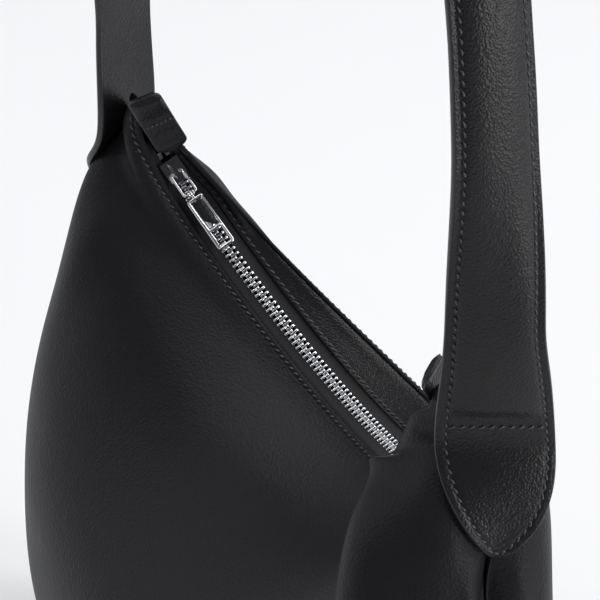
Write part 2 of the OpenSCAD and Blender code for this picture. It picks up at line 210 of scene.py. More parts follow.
# ---- mesh helpers -------------------------------------------------------------------------------
def mesh_object(name, points, faces, materials, index=None, smooth=True):
    mesh = bpy.data.meshes.new(name)
    mesh.from_pydata([tuple(p) for p in points], [], faces)
    for m in materials:
        mesh.materials.append(m)
    if index is not None:
        mesh.polygons.foreach_set("material_index", np.asarray(index, np.int32))
    mesh.polygons.foreach_set("use_smooth", [smooth] * len(mesh.polygons))
    mesh.update()
    bm = bmesh.new()
    bm.from_mesh(mesh)
    bmesh.ops.recalc_face_normals(bm, faces=bm.faces)
    bm.to_mesh(mesh)
    bm.free()
    obj = bpy.data.objects.new(name, mesh)
    bpy.context.scene.collection.objects.link(obj)
    return obj


def loft(name, sections, materials, index=None, caps=True):
    """A solid through closed sections, an array (sections, points, 3).

    index gives the material of each point's strip.
    """
    n, k = sections.shape[:2]
    faces, mats = [], []
    for i in range(n - 1):
        for j in range(k):
            q = (j + 1) % k
            faces.append((i * k + j, i * k + q, (i + 1) * k + q, (i + 1) * k + j))
            mats.append(0 if index is None else index[j])
    if caps:
        faces += [tuple(range(k)), tuple(range((n - 1) * k, n * k))]
        mats += [mats[0], mats[0]]
    return mesh_object(name, sections.reshape(-1, 3), faces, materials, mats)


def along(points, step):
    """(points, directions) at equal steps along a polyline."""
    d = np.linalg.norm(np.diff(points[:, :3], axis=0), axis=1)
    s = np.concatenate([[0], np.cumsum(d)])
    n = max(2, int(round(s[-1] / step)))
    at = (np.arange(n) + 0.5) * s[-1] / n
    p = np.stack([np.interp(at, s, points[:, k]) for k in range(points.shape[1])], -1)
    return p, s[-1] / n


def stitches(name, line, up, material, pitch=3.5, thick=0.5, slant=0.12):
    """A row of thread stitches along a line; up is the surface's outward direction at each point of the line."""
    both, step = along(np.concatenate([line, up], 1), pitch * MM)
    place, out = both[:, :3], unit(both[:, 3:])
    ahead, _ = along(np.concatenate([line, up], 1), pitch * MM)
    run = unit(np.gradient(ahead[:, :3], axis=0))
    side = unit(np.cross(out, run))
    run = unit(np.cross(side, out))
    around = np.linspace(0, 2 * np.pi, 8, endpoint=False)
    stations = np.linspace(-1, 1, 7)
    pts, faces = [], []
    for p, o, r, s in zip(place, out, run, side):
        base = len(pts)
        for q in stations:
            w = thick * MM * max(0.25, (1 - abs(q) ** 3) ** 0.5) if abs(q) < 1 else thick * MM * 0.25
            centre = p + r * q * 0.38 * step + s * q * slant * step + o * MM * (0.34 - 0.6 * q * q)
            for a in around:
                pts.append(centre + s * w * math.cos(a) + o * w * 0.8 * math.sin(a))
        for i in range(len(stations) - 1):
            for j in range(8):
                k = (j + 1) % 8
                faces.append((base + i * 8 + j, base + i * 8 + k, base + i * 8 + 8 + k, base + i * 8 + 8 + j))
        faces.append(tuple(base + j for j in range(8)))
        faces.append(tuple(base + (len(stations) - 1) * 8 + j for j in range(8)))
    return mesh_object(name, pts, faces, [material])


# ---- materials -----------------------------------------------------------------------------------
def node_material(name):
    m = bpy.data.materials.new(name)
    m.use_nodes = True
    nodes, links = m.node_tree.nodes, m.node_tree.links
    return m, nodes, links, nodes["Principled BSDF"]


def add(nodes, kind, **values):
    n = nodes.new(kind)
    for key, value in values.items():
        if hasattr(n, key):
            setattr(n, key, value)
        else:
            n.inputs[key.replace("_", " ")].default_value = value
    return n


def leather_material(name, dark, light, rough, grain=1.0, depth=0.26, level=0.3, creases=0.5):
    """Fine-grained leather: pebbles of the size grain (mm), faint pores, soft creases and cloudy gloss."""
    m, nodes, links, shader = node_material(name)
    place = add(nodes, "ShaderNodeTexCoord")
    pebbles = add(nodes, "ShaderNodeTexVoronoi", Scale=1 / (grain * MM), Randomness=1.0)
    pebbles.feature = "SMOOTH_F1"
    pores = add(nodes, "ShaderNodeTexNoise", Scale=2600.0, Detail=3.0, Roughness=0.6)
    cloud = add(nodes, "ShaderNodeTexNoise", Scale=38.0, Detail=4.0, Roughness=0.55)
    crease = add(nodes, "ShaderNodeTexNoise", Scale=120.0, Detail=3.0, Roughness=0.5, Distortion=1.2)
    for t in (pebbles, pores, cloud, crease):
        links.new(place.outputs["Object"], t.inputs["Vector"])
    tone = add(nodes, "ShaderNodeMix")
    tone.data_type = "RGBA"
    tone.inputs["A"].default_value = (*dark, 1)
    tone.inputs["B"].default_value = (*light, 1)
    links.new(cloud.outputs["Fac"], tone.inputs["Factor"])
    links.new(tone.outputs["Result"], shader.inputs["Base Color"])
    gloss = add(nodes, "ShaderNodeMapRange")
    gloss.inputs["To Min"].default_value = rough - 0.05
    gloss.inputs["To Max"].default_value = rough + 0.06
    links.new(cloud.outputs["Fac"], gloss.inputs["Value"])
    links.new(gloss.outputs["Result"], shader.inputs["Roughness"])
    fine = add(nodes, "ShaderNodeBump", Strength=0.9, Distance=depth * MM)
    links.new(pebbles.outputs["Distance"], fine.inputs["Height"])
    grit = add(nodes, "ShaderNodeBump", Strength=0.25, Distance=0.03 * MM)
    links.new(pores.outputs["Fac"], grit.inputs["Height"])
    links.new(fine.outputs["Normal"], grit.inputs["Normal"])
    soft = add(nodes, "ShaderNodeBump", Strength=creases, Distance=0.25 * MM)
    links.new(crease.outputs["Fac"], soft.inputs["Height"])
    links.new(grit.outputs["Normal"], soft.inputs["Normal"])
    links.new(soft.outputs["Normal"], shader.inputs["Normal"])
    shader.inputs["Specular IOR Level"].default_value = level
    return m


def paint_material():
    """Edge paint: smooth, semi-gloss, with a slight ripple along the edge."""
    m, nodes, links, shader = node_material("edge_paint")
    place = add(nodes, "ShaderNodeTexCoord")
    ripple = add(nodes, "ShaderNodeTexNoise", Scale=260.0, Detail=2.0)
    links.new(place.outputs["Object"], ripple.inputs["Vector"])
    tone = add(nodes, "ShaderNodeMix")
    tone.data_type = "RGBA"
    tone.inputs["A"].default_value = (0.012, 0.012, 0.013, 1)
    tone.inputs["B"].default_value = (0.03, 0.03, 0.032, 1)
    links.new(ripple.outputs["Fac"], tone.inputs["Factor"])
    links.new(tone.outputs["Result"], shader.inputs["Base Color"])
    bump = add(nodes, "ShaderNodeBump", Strength=0.3, Distance=0.15 * MM)
    links.new(ripple.outputs["Fac"], bump.inputs["Height"])
    links.new(bump.outputs["Normal"], shader.inputs["Normal"])
    shader.inputs["Roughness"].default_value = 0.34
    return m


def thread_material():
    """Waxed black thread, with its twist."""
    m, nodes, links, shader = node_material("thread")
    place = add(nodes, "ShaderNodeTexCoord")
    twist = add(nodes, "ShaderNodeTexWave", Scale=900.0, Distortion=1.5)
    links.new(place.outputs["Object"], twist.inputs["Vector"])
    tone = add(nodes, "ShaderNodeMix")
    tone.data_type = "RGBA"
    tone.inputs["A"].default_value = (0.016, 0.016, 0.018, 1)
    tone.inputs["B"].default_value = (0.06, 0.06, 0.065, 1)
    links.new(twist.outputs["Fac"], tone.inputs["Factor"])
    links.new(tone.outputs["Result"], shader.inputs["Base Color"])
    bump = add(nodes, "ShaderNodeBump", Strength=0.4, Distance=0.08 * MM)
    links.new(twist.outputs["Fac"], bump.inputs["Height"])
    links.new(bump.outputs["Normal"], shader.inputs["Normal"])
    shader.inputs["Roughness"].default_value = 0.42
    return m


def metal_material(name, tint, rough):
    """Polished plate with fine handling marks."""
    m, nodes, links, shader = node_material(name)
    place = add(nodes, "ShaderNodeTexCoord")
    marks = add(nodes, "ShaderNodeTexNoise", Scale=420.0, Detail=4.0, Roughness=0.65)
    links.new(place.outputs["Object"], marks.inputs["Vector"])
    gloss = add(nodes, "ShaderNodeMapRange")
    gloss.inputs["To Min"].default_value = rough * 0.6
    gloss.inputs["To Max"].default_value = rough * 1.5
    links.new(marks.outputs["Fac"], gloss.inputs["Value"])
    links.new(gloss.outputs["Result"], shader.inputs["Roughness"])
    tone = add(nodes, "ShaderNodeMix")
    tone.data_type = "RGBA"
    tone.inputs["A"].default_value = (*[c * 0.86 for c in tint], 1)
    tone.inputs["B"].default_value = (*tint, 1)
    links.new(marks.outputs["Fac"], tone.inputs["Factor"])
    links.new(tone.outputs["Result"], shader.inputs["Base Color"])
    bump = add(nodes, "ShaderNodeBump", Strength=0.15, Distance=0.02 * MM)
    links.new(marks.outputs["Fac"], bump.inputs["Height"])
    links.new(bump.outputs["Normal"], shader.inputs["Normal"])
    shader.inputs["Metallic"].default_value = 1.0
    return m


def cloth_material(name, dark, light, thread):
    """Plain weave: two crossed waves of the thread size (mm)."""
    m, nodes, links, shader = node_material(name)
    place = add(nodes, "ShaderNodeTexCoord")
    waves = []
    for direction in ("X", "Z"):
        w = add(nodes, "ShaderNodeTexWave", Scale=1 / (thread * MM) / 3.2, Distortion=0.6, Detail=1.0)
        w.bands_direction = direction
        links.new(place.outputs["Object"], w.inputs["Vector"])
        waves.append(w)
    mix = add(nodes, "ShaderNodeMath")
    mix.operation = "MULTIPLY"
    links.new(waves[0].outputs["Fac"], mix.inputs[0])
    links.new(waves[1].outputs["Fac"], mix.inputs[1])
    tone = add(nodes, "ShaderNodeMix")
    tone.data_type = "RGBA"
    tone.inputs["A"].default_value = (*dark, 1)
    tone.inputs["B"].default_value = (*light, 1)
    links.new(mix.outputs["Value"], tone.inputs["Factor"])
    links.new(tone.outputs["Result"], shader.inputs["Base Color"])
    bump = add(nodes, "ShaderNodeBump", Strength=0.6, Distance=0.12 * MM)
    links.new(mix.outputs["Value"], bump.inputs["Height"])
    links.new(bump.outputs["Normal"], shader.inputs["Normal"])
    shader.inputs["Roughness"].default_value = 0.85
    shader.inputs["Sheen Weight"].default_value = 0.2
    shader.inputs["Sheen Roughness"].default_value = 0.4
    return m


LEATHER = leather_material("leather", (0.0105, 0.0105, 0.0118), (0.0150, 0.0150, 0.0168), 0.46, level=0.12)
STRAP_LEATHER = leather_material(
    "strap_leather", (0.0080, 0.0080, 0.0090), (0.0125, 0.0125, 0.0138), 0.34, grain=0.8, level=0.26
)
FACING_LEATHER = leather_material(
    "facing_leather", (0.0050, 0.0050, 0.0056), (0.0080, 0.0080, 0.0092), 0.30, grain=0.7, level=0.32
)
PAINT = paint_material()
THREAD = thread_material()
NICKEL = metal_material("nickel", (0.80, 0.80, 0.82), 0.07)
TEETH = metal_material("teeth_metal", (0.78, 0.78, 0.80), 0.14)
TAPE = cloth_material("zip_tape", (0.006, 0.006, 0.007), (0.016, 0.016, 0.018), 0.4)
LINING = cloth_material("lining_cloth", (0.010, 0.010, 0.012), (0.022, 0.022, 0.024), 0.35)
FOAM = cloth_material("foam", (0.03, 0.03, 0.033), (0.05, 0.05, 0.055), 0.6)
BOARD = cloth_material("board", (0.03, 0.03, 0.03), (0.05, 0.05, 0.05), 0.8)

# ---- body panels ---------------------------------------------------------------------------------
TAB_TIP_Z = float(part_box("strap_tab_left")[0][2])


def relief(u, v, side, place):
    """How far the leather stands off the plain shell, in millimetres."""
    seam = shell(np.sign(u) + (u == 0), v, side)
    s = np.linalg.norm(place - seam, axis=-1) / MM
    z = place[..., 2] / MM
    x = place[..., 0] / MM
    tip = TAB_TIP_Z / MM
    pleat = smooth_step(z, tip + 6, tip - 16) * smooth_step(z, 30, 90)
    d = pleat * (-4.2 * np.exp(-((s / 4.0) ** 2)) + 2.4 * np.exp(-(((s - 9.5) / 4.5) ** 2)))
    d = d - 0.8 * np.exp(-((s / 1.6) ** 2)) * smooth_step(z, 300, 260)
    # soft folds that hang from each peak
    peak = np.abs(x) / 130
    reach = np.exp(-(((z - 235) / 45) ** 2)) * smooth_step(peak, 0.6, 1.05)
    d = d + 0.9 * reach * np.sin(s / 5.2 + 0.02 * z) * smooth_step(s, 6, 16) * smooth_step(s, 80, 40)
    # slow unevenness of a hanging hide
    d = d + 0.7 * np.sin(x / 31 + z / 47) * np.sin(z / 38 - x / 71 + side) * smooth_step(v, 0.12, 0.3)
    return d


def panel(name, side):
    """A shell panel as a loft of closed sections: outer face, base turn, inner face and a folded top edge."""
    nu, nv = ((300, 170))
    u = np.linspace(-1, 1, nu)
    v = np.concatenate([np.linspace(0, 0.14, nv // 4, endpoint=False), np.linspace(0.14, 1, nv - nv // 4)])
    uu, vv = np.meshgrid(u, v, indexing="ij")
    outer, out = drape(uu, vv, side)
    edge = np.linalg.norm(outer - outer[:, :1], axis=-1) / MM
    lift = relief(uu, vv, side, outer)
    keep = smooth_step(edge, 6, 26)
    lift = lift * keep - 0.28 * np.exp(-(((edge - 3.0) / 0.7) ** 2)) + 0.25 * np.exp(-(((edge - 1.2) / 1.2) ** 2))
    top = outer + out * (lift * MM)[..., None]
    low = outer + out * ((lift * smooth_step(edge, 4, 12) - SHELL_T) * MM)[..., None]
    top[..., 2] = np.maximum(top[..., 2], 0)
    low[..., 2] = np.maximum(low[..., 2], 0)
    # the fold at the mouth: a half round from the outer face to the inner face
    mid = (top[:, 0] + low[:, 0]) / 2
    arm = (top[:, 0] - low[:, 0]) / 2
    fold_dir = unit(outer[:, 0] - outer[:, 1]) * (np.linalg.norm(arm, axis=-1) * 0.9)[:, None]
    turns = np.radians([150, 120, 90, 60, 30])
    fold = np.stack([mid - arm * math.cos(a) + fold_dir * math.sin(a) for a in turns], 1)
    sections = np.concatenate([top, low[:, ::-3], fold], 1)
    return loft(name, sections, [LEATHER])


front = panel("front_panel_leather", -1)
back = panel("back_panel_leather", 1)
for piece, node in ((front, "front_panel"), (back, "back_panel")):
    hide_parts(node)
    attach(piece, "bag")


def lining_sheet(name, node, side, u_lim, v_lim, depth, thick, nu, nv):
    u = np.linspace(*u_lim, nu)
    v = np.linspace(*v_lim, nv)
    uu, vv = np.meshgrid(u, v, indexing="ij")
    p, n = shell(uu, vv, side), shell_out(uu, vv, side)
    slack = 0.25 * np.sin(p[..., 0] / MM / 6 + np.sin(p[..., 2] / MM / 9)) * MM
    outer = p - n * (depth * MM + 0.3 * MM + slack)[..., None]
    inner = outer - n * thick * MM
    piece = loft(name, np.concatenate([outer, inner[:, ::-1]], 1), [LINING])
    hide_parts(node)
    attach(piece, "bag")
    return piece


cloth = lining_sheet("front_lining_cloth", "front_lining", -1, (-0.985, 0.985), (0.17, 0.9), 3.4, 0.5, 90, 50)
cloth = lining_sheet("back_lining_cloth", "back_lining", 1, (-0.985, 0.985), (0.2, 0.9), 3.4, 0.5, 90, 50)
cloth = lining_sheet("slip_pocket_cloth", "slip_pocket", 1, (-0.35, 0.35), (0.3, 0.6), 4.8, 0.5, 40, 24)


def base_piece():
    """The leather base: a plate with softly rounded edges."""
    a = np.linspace(-1, 1, 121)
    loop = np.concatenate([ring(SPANS, a, -1)[:-1], ring(SPANS, -a, 1)[:-1]])
    middle = np.array([0, 0, 0])
    steps = [
        (0.02, 0.1), (0.5, 0.1), (0.93, 0.1), (0.975, 0.3), (0.985, 0.8),
        (0.975, 1.4), (0.93, 1.6), (0.5, 1.6), (0.02, 1.6),
    ]  # share of the base's outline, height in millimetres
    sections = np.stack([middle + loop * [s, s, 1] + [0, 0, h * MM] for s, h in steps])
    piece = loft("base_leather", sections, [LEATHER])
    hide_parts("base_panel")
    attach(piece, "bag")


base_piece()

# ---- mouth: facing, tapes, chain -------------------------------------------------------------------
def mouth_loft(name, a_lim, profile, n, materials, index=None):
    """A band along the mouth. profile(t) gives the closed section as rows of (across, up) in millimetres."""
    t = np.linspace(*a_lim, n)
    section = np.stack([profile(x) for x in t])
    p = on_mouth(t[:, None], section[..., 0], section[..., 1])
    piece = loft(name, p, materials, index)
    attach(piece, "bag")
    return piece


def facing_start(t):
    return min(FACING_IN, back_edge(t) - 4.4)


def facing_profile(t):
    outer = back_edge(t) - 1.5
    start = facing_start(t)
    wide = outer - start
    rise = back_rise(t) - 0.7
    low, high = 0.4, 1.6
    border = min(1.6, 0.4 * wide)
    return np.array([
        (start, low + 0.2), (start - 0.3, low + 0.6), (start, high), (start + 0.5 * border, high + 0.15),
        (start + border, high - 0.12), (start + 1.5 * border, high + 0.1),
        (start + 0.4 * wide + 0.3 * border, high + 0.12 * rise), (outer - 0.28 * wide, high + 0.3 * rise),
        (outer - 0.10 * wide, high + 0.62 * rise), (outer - 0.1, max(high, rise) + 0.1),
        (outer + 0.3, max(high, rise)), (outer + 0.2, low + 0.6), (outer - 0.3, low),
    ])


facing = mouth_loft("back_facing_leather", (-80, 80), facing_profile, 240, [FACING_LEATHER])
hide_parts("back_facing")


def tape_profile(sign):
    def profile(t):
        rows = [
            (2.3, 0.45), (2.6, 0.62), (3.0, 0.45), (3.6, 0.3), (6, 0.3), (9.5, 0.3),
            (9.5, -0.3), (6, -0.3), (3.0, -0.4), (2.6, -0.6), (2.3, -0.4),
        ]
        return np.array([(sign * a, b) for a, b in rows])

    return profile


for sign, word in ((-1, "front"), (1, "back")):
    tape = mouth_loft(f"zip_tape_{word}_woven", (-76, 76), tape_profile(sign), 240, [TAPE])
    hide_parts(f"zip_tape_{word}")

PITCH = 2.7
TOOTH_STEP = math.degrees(PITCH * MM / ZIP_R)
TOOTH_FIRST = SLIDER_A - 0.8
TOOTH_LAST = 66.0


def chain_frame(t):
    """(origin, along, into the bag, across) of the chain at angle t."""
    down = -spoke_up(np.array([t]))[0]
    return ZIP_C + ZIP_R * down, np.cross(down, ACROSS), down, ACROSS


def tooth_row(name, node, sign, shift):
    """Cast teeth: a clamp over the tape's bead, a waist and a rounded head."""
    stations = [
        (-3.1, 0.45, 0.75), (-2.85, 0.68, 1.0), (-2.2, 0.72, 1.12), (-0.9, 0.66, 1.08),
        (-0.2, 0.50, 0.95), (0.35, 0.52, 0.98), (0.8, 0.58, 0.9), (1.1, 0.38, 0.6),
    ]  # across, half length, half height
    count = int((TOOTH_LAST - TOOTH_FIRST) / TOOTH_STEP)
    around = np.radians(np.arange(0, 360, 36) + 18)
    pts, faces = [], []
    for i in range(count):
        o, x, down, z = chain_frame(TOOTH_FIRST + (i + shift) * TOOTH_STEP)
        start = len(pts)
        for s, half_x, half_y in stations:
            for a in around:
                cx = math.copysign(abs(math.cos(a)) ** 0.6, math.cos(a))
                cy = math.copysign(abs(math.sin(a)) ** 0.6, math.sin(a))
                pts.append(o + MM * (x * half_x * cx - down * half_y * cy + z * sign * -s * -1))
        k = len(around)
        for r in range(len(stations) - 1):
            for j in range(k):
                q = (j + 1) % k
                faces.append((start + r * k + j, start + r * k + q, start + (r + 1) * k + q, start + (r + 1) * k + j))
        faces.append(tuple(range(start, start + k)))
        faces.append(tuple(range(start + (len(stations) - 1) * k, start + len(stations) * k)))
    piece = mesh_object(name, pts, faces, [TEETH])
    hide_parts(node)
    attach(piece, "bag")


tooth_row("zip_teeth_front_metal", "zip_teeth_front", 1, 0)
tooth_row("zip_teeth_back_metal", "zip_teeth_back", -1, 0.5)


def bevelled(node, material, width, segments=3):
    obj = frame["nodes"][node]
    obj.data.materials.clear()
    obj.data.materials.append(material)
    mod = obj.modifiers.new("soft_edges", "BEVEL")
    mod.width, mod.segments, mod.limit_method = width * MM, segments, "ANGLE"
    mod.harden_normals = True
    return obj


bevelled("zip_top_stops", TEETH, 0.35)
bevelled("zip_bottom_stop", TEETH, 0.35)
bevelled("slider_body", NICKEL, 0.45, 4)
bevelled("slider_bridge", NICKEL, 0.4)


def tube(name, path, radius, material, closed=False, around=14):
    """A round wire along a path; radius may change along it."""
    radius = np.broadcast_to(np.asarray(radius, float) * MM, (len(path),))
    if closed:
        run = unit(np.roll(path, -1, 0) - np.roll(path, 1, 0))
    else:
        run = unit(np.gradient(path, axis=0))
    side = unit(np.cross(run, np.array([0.31, 0.55, -0.77])))
    other = np.cross(run, side)
    a = np.linspace(0, 2 * np.pi, around, endpoint=False)
    spread = np.cos(a)[None, :, None] * side[:, None] + np.sin(a)[None, :, None] * other[:, None]
    rings = path[:, None] + radius[:, None, None] * spread
    if closed:
        rings = np.concatenate([rings, rings[:1]])
    return loft(name, rings, [material], caps=not closed)


def puller_point(a, high, across):
    """A spot on the puller: a along it from the link's first pin, high off the chain, across the zip (mm)."""
    a, high, across = (np.asarray(q, float)[..., None] for q in np.broadcast_arrays(a, high, across))
    o, x, down, z = chain_frame(SLIDER_A)
    lean = math.radians(12)
    ahead, into = math.cos(lean) * x - math.sin(lean) * down, math.sin(lean) * x + math.cos(lean) * down
    pin = np.array(joints["link_tilt"]["pos_m"])
    return pin + MM * (a * ahead - high * into + across * z)


def rounded_loop(x0, x1, half, corner, n=6):
    """A rounded rectangle as rows of (along, across)."""
    rows = []
    left, right, top = x0 + corner, x1 - corner, half - corner
    for cx, cy, start in ((right, top, 0), (left, top, 90), (left, -top, 180), (right, -top, 270)):
        for k in range(n + 1):
            q = math.radians(start + 90 * k / n)
            rows.append((cx + corner * math.cos(q), cy + corner * math.sin(q)))
    return np.array(rows)


pin_gap = np.array(joints["puller_tilt"]["pos_m"]) - np.array(joints["link_tilt"]["pos_m"])
LINK_L = float(np.linalg.norm(pin_gap)) / MM
wire = rounded_loop(0, LINK_L, 3.0, 0.9)
link = tube("link_wire", puller_point(wire[:, 0], 0, wire[:, 1]), 0.6, NICKEL, closed=True)
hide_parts("puller_link")
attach(link, "link")

# leather inlay of the puller, cut away in a curve at one corner where the frame's plate shows
INLAY0, INLAY1, INLAY_HALF = LINK_L + 3.9, LINK_L + 17.1, 2.45


def inlay_sections(x0, x1, low, high, round_edge):
    rows = []
    for x in np.linspace(x0, x1, 40):
        cut = 3.9 * smooth_step(x, x1 - 5.5, x1 + 0.6) ** 1.3
        end = min(x - x0, x1 - x)
        puff = round_edge * math.sqrt(max(0.0, 1 - max(0.0, 1 - end / 0.8) ** 2))
        a, b = -INLAY_HALF + cut, INLAY_HALF
        base = high - round_edge
        mid = [(b, low), (b, base), (b - 0.35, base + 0.75 * puff), (b - 1.0, base + puff)]
        mid += [((a + b) / 2, base + puff * 1.15)]
        mid += [(a + 0.8, base + puff), (a + 0.3, base + 0.75 * puff), (a, base), (a, low)]
        rows.append([puller_point(x, h, w) for w, h in mid])
    return np.array(rows)


inlay = loft("puller_inlay", inlay_sections(INLAY0, INLAY1, -1.05, 1.25, 0.5), [STRAP_LEATHER])
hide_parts("puller_leather")
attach(inlay, "puller")
# frame of the puller: rounded bars, two cross bars and the hook round the link
FRAME0, FRAME1 = LINK_L + 2.9, LINK_L + 26.6
bars = rounded_loop(FRAME0, FRAME1, 3.4, 0.7, n=4)
pieces = [tube("puller_bars", puller_point(bars[:, 0], 0.1, bars[:, 1]), 0.8, NICKEL, closed=True)]
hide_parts("puller_frame")
line = np.linspace(-1, 1, 9)
pieces.append(tube("puller_cross_bar", puller_point(LINK_L + 18.0, 0.1, 3.4 * line), 0.75, NICKEL))
turn = np.radians(np.linspace(0, 360, 24, endpoint=False))
for across in (-1.1, 0.0, 1.1):
    hook = puller_point(LINK_L + 1.05 * np.cos(turn), 1.05 * np.sin(turn), across)
    pieces.append(tube("puller_hook", hook, 0.42, NICKEL, closed=True))
tongue = np.linspace(LINK_L + 1.0, FRAME0 + 0.2, 5)
pieces.append(tube("puller_tongue", puller_point(tongue, 0.1, 0.0), 0.8, NICKEL))
for piece in pieces:
    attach(piece, "puller")
corners = ((-2.6, -0.55), (2.6, -0.55), (2.6, 0.35), (-2.6, 0.35))
plate_run = np.linspace(INLAY0 + 0.2, INLAY1 + 0.2, 12)
plate_sections = np.array([[puller_point(x, h, w) for w, h in corners] for x in plate_run])
plate = loft("puller_plate", plate_sections, [NICKEL])
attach(plate, "puller")

FRONT_FACING = np.array([
    (-14, -0.6), (-13.6, -0.35), (-9, -0.5), (-5.3, -0.45), (-5.0, -0.7), (-5.3, -1.05), (-9, -1.1), (-13.6, -1.0),
])
front_leather = mouth_loft("front_facing_leather", (-72, 72), lambda t: FRONT_FACING, 200, [LEATHER])
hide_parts("front_facing")


def board_piece():
    """The stiff board under the lining, with worn, rounded edges and slightly bowed."""
    a = np.linspace(-1, 1, 121)
    loop = np.concatenate([ring(SPANS, a, -1)[:-1], ring(SPANS, -a, 1)[:-1]])
    steps = [
        (0.02, 2.0), (0.5, 2.0), (0.88, 2.0), (0.925, 2.15), (0.935, 2.8),
        (0.925, 3.6), (0.9, 3.85), (0.5, 3.95), (0.02, 4.0),
    ]
    sections = np.stack([loop * [k, k, 1] + [0, 0, h * MM] for k, h in steps])
    piece = loft("base_board_stiff", sections, [BOARD])
    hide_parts("base_board")
    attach(piece, "bag")


board_piece()


def end_tab(side, word):
    """Folded leather over an end of the zip: two layers with painted edges, a rounded end and a turned-up top."""
    n = 60
    t = np.linspace(72.6, 85.2, n)
    tip = np.minimum((t - 72.6) / 1.6, 1)
    narrow = np.sqrt(np.maximum(0.02, 1 - (1 - tip) ** 2))
    narrow = narrow * (1 - 0.25 * smooth_step(t, 84.6, 85.2))
    w = np.linspace(-1, 1, 17)
    mid_a, mid_u, half_w, rise = 4.6, 6.0, 6.2, 3.6
    # the top turns over and hangs down a little
    rows_top, rows_low = [], []
    for i in range(n):
        swell = 0.9 * smooth_step(t[i], 79.5, 82.0) + 0.35 * math.sin(1.3 * t[i])
        crown = (1 - np.abs(w) ** 4)
        a = mid_a + w * half_w * narrow[i]
        u = mid_u + w * rise * narrow[i] - 1.2 * smooth_step(t[i], 83.9, 85.2)
        rows_top.append(on_mouth(side * t[i], a, u + 1.5 * tip[i] ** 0.5 + 0.55 * crown + swell * crown))
        rows_low.append(on_mouth(side * t[i], a, u - 1.1 * tip[i] ** 0.5))
    top, low = np.array(rows_top), np.array(rows_low)
    across = unit(top[:, -1] - top[:, 0])

    def layers(k, sign):
        arm = top[:, k] - low[:, k]
        stops = [(0.92, 0.30), (0.74, 0.42), (0.56, 0.28), (0.50, 0.0), (0.44, 0.28), (0.26, 0.42), (0.08, 0.30)]
        return np.stack([low[:, k] + arm * h + across * sign * o * MM for h, o in stops], 1)

    sections = np.concatenate([top, layers(-1, 1), low[:, ::-2], layers(0, -1)[:, ::-1]], 1)
    index = [0] * (len(w) - 1) + [1] * 8 + [0] * 8 + [1] * 8
    piece = loft(f"zip_end_leather_{word}", sections, [STRAP_LEATHER, PAINT], index)
    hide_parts(f"zip_end_tab_{word}")
    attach(piece, "bag")
    at = int(np.argmin(np.abs(t - 79.3)))
    out = unit(np.cross(across[at], top[at + 1, 8] - top[at - 1, 8]))
    out = out * np.sign(out @ (top[at, 8] - low[at, 8]))
    row = stitches(f"zip_end_stitches_{word}", top[at, 1:-1], np.repeat(out[None], len(w) - 2, 0), THREAD, pitch=2.0)
    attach(row, "bag")


end_tab(-1, "left")
end_tab(1, "right")

# ---- strap -----------------------------------------------------------------------------------------
STRAP_Y = SWING_Y / MM
TAB_V = (0.21, 0.352)
TURN_LOW, TURN_HIGH = 320, 400
PLY = 1.5
PAD = 3.5


def strap_z(g):
    return (ROOT_Z + (STRAP_TOP - ROOT_Z) * np.sin(np.radians(90 * (1 - np.abs(g)))) ** 0.77) / MM


def strap_mid(g):
    z = strap_z(g)
    lean = np.maximum(0, 1 - (z - ROOT_Z / MM) / ((FREE_Z - ROOT_Z) / MM)) ** 2
    x = 159 * np.maximum(np.cos(np.radians(90 * (1 - np.abs(g)))), 0) ** 0.77 - 5 * lean
    return np.stack([np.sign(g) * x, np.full_like(x, STRAP_Y), z], -1) * MM


def strap_side(g):
    turn = np.radians(np.sign(g) * 29 * (1 - smooth_step(strap_z(g), TURN_LOW, TURN_HIGH)))
    return np.stack([np.sin(turn), np.cos(turn), np.zeros_like(turn)], -1)


def strap_half(g):
    return (30 + 5 * np.maximum(0, 1 - (strap_z(g) - ROOT_Z / MM) / 150)) / 2


def tab_half(f):
    return 20.8 * np.maximum(0.0004, 1 - f**3.2) ** 0.6


def tab_mid(f):
    """Across the end wall, where the tab's middle line lies: behind the side seam at the top."""
    return 5.5 - 4 * f


def wall_u(v, w, s, side):
    """The u whose distance from the side seam is w, by halving."""
    low, high = np.full_like(w, 0.5), np.ones_like(w)
    seam = shell(np.full_like(w, side), v, s)
    for _ in range(18):
        mid = (low + high) / 2
        far = np.linalg.norm(shell(side * mid, v, s) - seam, axis=-1) > w * MM
        low, high = np.where(far, mid, low), np.where(far, high, mid)
    return (low + high) / 2


def on_wall(v, w, side):
    """(point, outward normal) on the end wall, w millimetres from the side seam (to the front when negative)."""
    v, w = np.broadcast_arrays(np.asarray(v, float), np.asarray(w, float))
    p, n = np.zeros((*v.shape, 3)), np.zeros((*v.shape, 3))
    for s in (-1, 1):
        u = side * np.minimum(wall_u(v, np.abs(w), s, side), 0.995)
        pick = (w < 0) if s < 0 else (w >= 0)
        place, out = drape(u, v, s)
        p[pick], n[pick] = place[pick], out[pick]
    return p, n


def blur(a, rounds, weight):
    """Smooths rows of points along the strap; weight says how much at each row."""
    w = weight[:, None, None] if a.ndim == 3 else weight[:, None]
    for _ in range(rounds):
        b = a.copy()
        b[1:-1] = (a[:-2] + 2 * a[1:-1] + a[2:]) / 4
        a = a + (b - a) * w
    return a


WS = np.linspace(-1, 1, 81)
CENTRE = len(WS) // 2
n_tab, n_free = 44, 420
tab_f = 1 - (1 - np.linspace(0, 1, n_tab)) ** 1.8 * 1.0
tab_f = np.clip(tab_f[::-1], 0, 0.9995)


